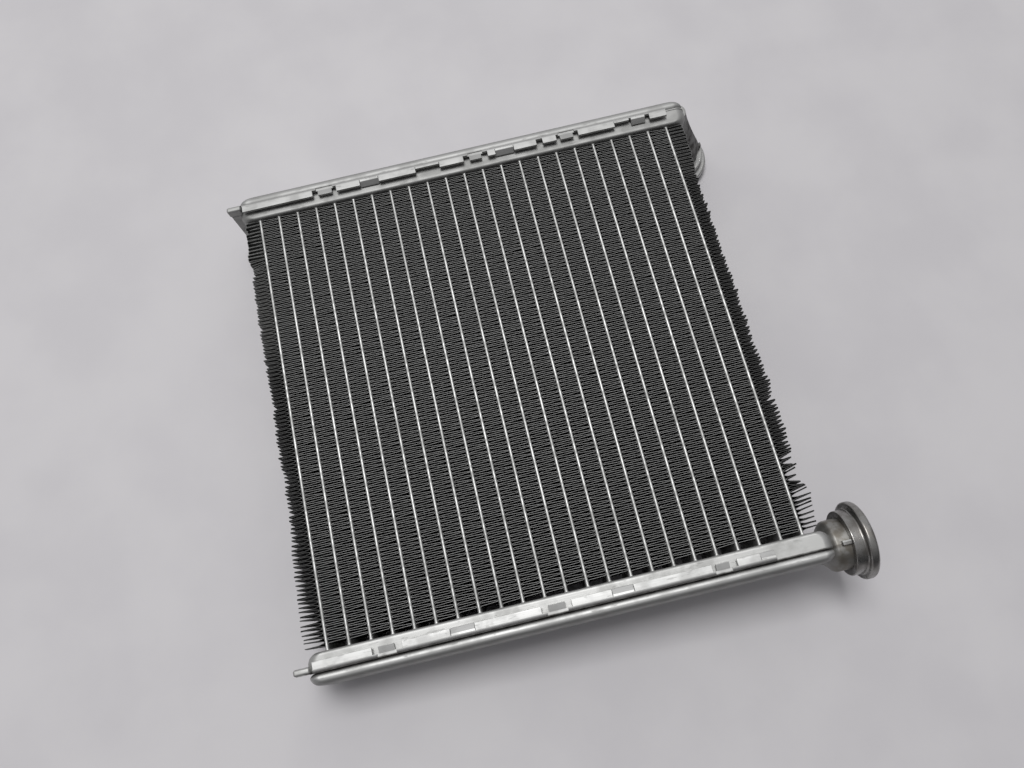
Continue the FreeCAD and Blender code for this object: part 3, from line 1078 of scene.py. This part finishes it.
def port_metal(label, axis, bright, dull):
    """Turned metal with tool rings round an axis and a brown stain from the furnace."""
    finish = Finish(f"turned_port_metal_{label}", {"Metallic": 0.9})
    squeeze = tuple(tool_marks if letter == axis else round_marks for letter in "XYZ")
    rings = finish.noise(finish.place(squeeze), 1.0, 2.0)
    stain = finish.between(finish.noise(finish.place(), 190.0, 5.0), 0.38, 0.66)
    specks = finish.between(finish.noise(finish.place(), 1500.0, 2.0), 0.62, 0.70)
    base = finish.tint(stain, bright, dull)
    if axis == "X":
        # Painted shade on the underside.
        underside_shade = 1.0 - finish.between(finish.coordinate("Z"), -4.5, 8.5)
        base = finish.tint(underside_shade * (0.60 + stain * 0.25), base, colour(0.070, 0.069, 0.067))
    finish.set("Base Color", finish.tint(specks * 0.4, base, colour(0.12, 0.11, 0.10)))
    finish.set("Roughness", 0.17 + rings * 0.12 + stain * 0.14)
    finish.relief(rings * 0.6 + (1.0 - specks) * 0.4, 0.03)
    return finish.material


port_metals = {
    "upper": port_metal("upper", "Z", colour(0.45, 0.45, 0.44), colour(0.36, 0.355, 0.345)),
    "lower": port_metal("lower", "X", colour(0.34, 0.335, 0.325), colour(0.20, 0.19, 0.178)),
}
print("finishes so far:", len(bpy.data.materials))

# %% [markdown]
# ## Ports
# A port is turned from bar: a cup that slips over the neck and a flange that a clamp grips. A profile
# spun round the axis is exactly what the lathe does. The profile is a short list of corners, each with
# its own rounding, so that the flange gets a soft rim and the cup a crisp one.

# %% Port profile
cup_length = 4.3
mouth = cup_length + 3.4
socket_floor = 3.3
neck_hole = neck_radius + 0.05
cup_radius = 12.2
flange_radius = 14.6
socket_radius = 10.6
port_corners = [
    (0.0, neck_hole, 0.2), (0.0, cup_radius, 0.5), (cup_length, cup_radius, 0.8),
    (cup_length, flange_radius, 0.9), (mouth, flange_radius, 1.5), (mouth, socket_radius, 0.5),
    (socket_floor, socket_radius, 0.2), (socket_floor, neck_hole, 0.2),
]
arc_points = 6


def rounded_profile(corners):
    """Closed profile with a smooth bend in place of each corner."""
    profile = []
    for k, (x, r, radius) in enumerate(corners):
        here = Vector((x, r))
        before = Vector(corners[k - 1][:2]) - here
        after = Vector(corners[(k + 1) % len(corners)][:2]) - here
        first = here + before.normalized() * radius
        last = here + after.normalized() * radius
        for step in range(arc_points + 1):
            t = step / arc_points
            profile.append(first.lerp(here, t).lerp(here.lerp(last, t), t))
    return profile


print("points of the profile:", len(rounded_profile(port_corners)))

# %% Ports
points_around = 128
seam_y = core_half + seam
port_places = {
    "upper": (Matrix.Rotation(math.pi / 2, 3, "Y"), Vector((upper_neck_x, seam_y, upper_stop))),
    "lower": (Matrix.Identity(3), Vector((lower_stop, -seam_y, 0.0))),
}


def port(name, turn, place):
    """Profile spun round X, then turned and moved to its neck."""
    profile = rounded_profile(port_corners)
    points = []
    for k in range(points_around):
        angle = 2 * math.pi * k / points_around
        for p in profile:
            spun = Vector((p.x, p.y * math.cos(angle), p.y * math.sin(angle)))
            points.append(turn @ spun + place)
    return solid(name, points, skin(len(profile), len(points), closed=True))


for label, (turn, place) in port_places.items():
    cup = port(f"turned_port_{label}", turn, place)
    finished(cup, port_metals[label], "ports", f"port_{label}")
    print(cup.name, "faces", len(cup.data.polygons))

# %% [markdown]
# ## Floor
# The core lies on its back, but not level: it rests on the rim of the upper flange and on the left
# corners of both headers. The floor is the plane through those three points, a hair lower than they are,
# with the faint mottle of a plain table top.

# %% Floor plane
foot_x = left_end + 3.0
flange_low = span("port_upper")[0]
contacts = [Vector((flange_low.x, seam_y, flange_low.z)), Vector((foot_x, -seam_y, -skirt_face)),
            Vector((foot_x, seam_y, -skirt_face))]
up = (contacts[1] - contacts[0]).cross(contacts[2] - contacts[0]).normalized()
up = up if up.z > 0 else -up
floor_drop = 0.05
floor_size = 6000.0
centre = contacts[0] * 0.5 + contacts[1] * 0.5 - up * floor_drop
print("floor tilt", round(math.degrees(math.acos(up.z)), 2), "degrees")

# %% Floor
finish = Finish("pale_table", {"Specular IOR Level": 0.35})
mottle = finish.noise(finish.place(), 22.0, 6.0)
darker, lighter = colour(0.520, 0.506, 0.522), colour(0.560, 0.546, 0.558)
finish.set("Base Color", finish.tint(finish.between(mottle, 0.3, 0.7), darker, lighter))
finish.set("Roughness", 0.50 + mottle * 0.12)
sideways = Vector((1.0, 0.0, 0.0)) - up * up.x
sideways.normalize()
ahead = up.cross(sideways)
signs = [(-1, -1), (1, -1), (1, 1), (-1, 1)]
corners = [centre + (sideways * a + ahead * b) * floor_size / 2 for a, b in signs]
floor_mesh = bpy.data.meshes.new("floor")
floor_mesh.from_pydata([c * MM for c in corners], [], [(0, 1, 2, 3)])
floor = bpy.data.objects.new("floor", floor_mesh)
bpy.context.scene.collection.objects.link(floor)
floor.data.materials.append(finish.material)
print("floor side", floor_size * MM, "metres")

# %% [markdown]
# ## Light
# Metal shows what stands round it. A plain grey room would light every side alike, so this room is bright
# overhead and towards the upper header, and gets dark towards the ground on the other side. One soft
# panel in its bright part gives the shadow below the lower header an edge.

# %% Soft panel
panel_place = Vector((-0.07, 0.49, 1.98))
lamp = bpy.data.lights.new("overhead_panel", "AREA")
lamp.shape = "RECTANGLE"
lamp.size, lamp.size_y = 0.78, 0.74
lamp.energy = 26.5
panel = bpy.data.objects.new("overhead_panel", lamp)
panel.location = panel_place
panel.rotation_mode = "QUATERNION"
panel.rotation_quaternion = (-panel_place).to_track_quat("-Z", "Y")
bpy.context.scene.collection.objects.link(panel)
print("panel", round(panel_place.length, 2), "metres away")

# %% Room
dark_side = colour(0.02, 0.02, 0.023)
bright_side = colour(0.54, 0.54, 0.55)
brightest_way = Vector((-0.03, 0.70, 0.71)).normalized()
world = bpy.data.worlds.new("room")
world.use_nodes = True
bpy.context.scene.world = world
room = Nodes(world.node_tree)
way = room.node("ShaderNodeTexCoord", {}, {}, "Generated")
facing = room.node("ShaderNodeVectorMath", {"operation": "DOT_PRODUCT"}, {0: way, 1: brightest_way}, "Value")
share = room.node("ShaderNodeMapRange", {}, {"Value": facing, "From Min": -0.35, "From Max": 0.75})
background = room.tree.nodes["Background"]
plug(room.tree, background.inputs["Color"], room.tint(share, dark_side, bright_side))
print("brightest way:", [round(part, 2) for part in brightest_way])

# %% [markdown]
# ## Camera
# The camera looks down from the lower header's side, a little turned. A target and a roll could aim it,
# but three angles say the same. The lens follows from the focal length in pixels.

# %% Camera
image_width = 1024
focal_pixels = 784.0
camera_place = Vector((-7.99, -92.67, 305.11)) * MM
camera_angles = (16.1576, 2.5445, -13.1276)
lens = bpy.data.cameras.new("camera")
lens.sensor_width = 36.0
lens.lens = focal_pixels / image_width * lens.sensor_width
lens.clip_start, lens.clip_end = 0.01, 50.0
camera = bpy.data.objects.new("camera", lens)
aim = Euler([math.radians(angle) for angle in camera_angles], "XYZ").to_matrix()
camera.matrix_world = Matrix.Translation(camera_place) @ aim.to_4x4()
bpy.context.scene.collection.objects.link(camera)
bpy.context.scene.camera = camera
bpy.context.scene.view_settings.view_transform = "Standard"
print("lens", round(lens.lens, 2), "millimetres")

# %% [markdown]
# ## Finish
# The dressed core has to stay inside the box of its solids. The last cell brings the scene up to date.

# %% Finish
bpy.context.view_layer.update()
